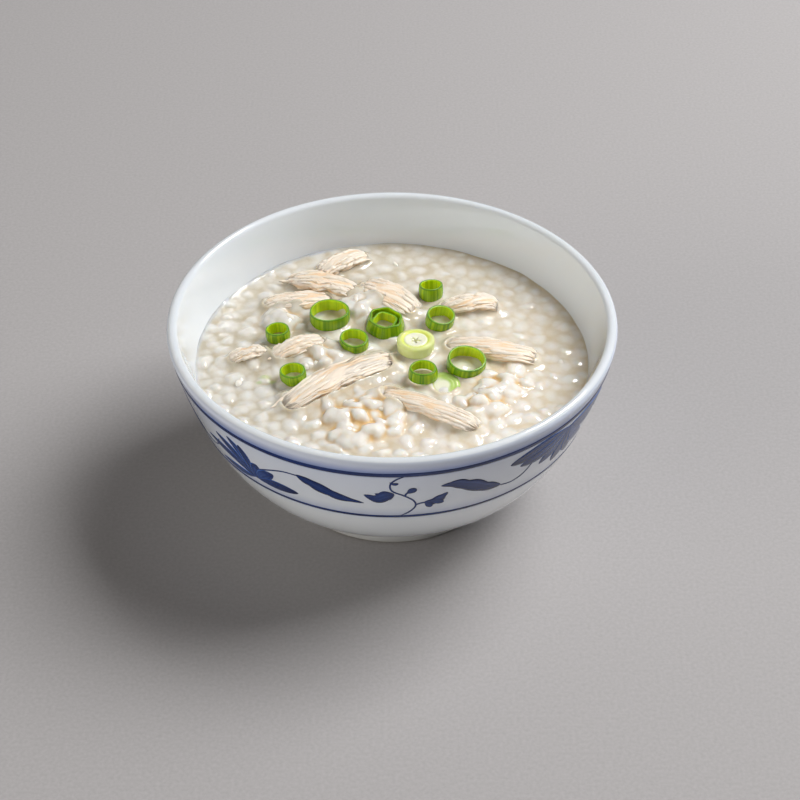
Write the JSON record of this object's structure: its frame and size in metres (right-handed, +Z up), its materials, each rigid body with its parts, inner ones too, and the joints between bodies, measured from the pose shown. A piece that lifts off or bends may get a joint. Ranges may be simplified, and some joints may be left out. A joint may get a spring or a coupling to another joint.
{
  "type": "bowl of chicken congee",
  "caption": "Round footed porcelain rice bowl of rice porridge, with torn chicken shreds and sliced spring onion on top.",
  "frame": {"origin": "middle of the foot ring's underside, on the surface the bowl stands on", "axes": "+Z up along the bowl's axis, -Y towards the front, +X to the right"},
  "size_m": [0.115, 0.115, 0.0524],
  "materials": {
    "porcelain": "glossy glazed white porcelain with cobalt blue lines and a painted leaf scroll",
    "congee": "wet, cloudy rice porridge with whole soft grains",
    "cooked_chicken": "moist, fibrous cooked chicken",
    "spring_onion_leaf": "fresh green spring onion leaf, waxy outside",
    "spring_onion_stem": "pale spring onion stem, moist and layered",
    "cobalt_decoration": "cobalt blue painting under a clear gloss glaze",
    "rice": "soft, cooked, half clear rice grains with a wet gloss"
  },
  "bodies": {
    "root": {"bowl": "porcelain", "congee": "congee", "chicken_shred_01": "cooked_chicken", "chicken_shred_02": "cooked_chicken", "chicken_shred_03": "cooked_chicken", "chicken_shred_04": "cooked_chicken", "chicken_shred_05": "cooked_chicken", "chicken_shred_06": "cooked_chicken", "chicken_shred_07": "cooked_chicken", "chicken_shred_08": "cooked_chicken", "chicken_shred_09": "cooked_chicken", "chicken_shred_10": "cooked_chicken", "spring_onion_01": "spring_onion_leaf", "spring_onion_02": "spring_onion_leaf", "spring_onion_03": "spring_onion_leaf", "spring_onion_04": "spring_onion_leaf", "spring_onion_05": "spring_onion_leaf", "spring_onion_06": "spring_onion_leaf", "spring_onion_07": "spring_onion_stem", "spring_onion_08": "spring_onion_leaf", "spring_onion_09": "spring_onion_leaf", "spring_onion_10": "spring_onion_leaf", "spring_onion_11": "spring_onion_stem", "spring_onion_05_inner_leaf": "spring_onion_leaf"}
  },
  "joints": []
}
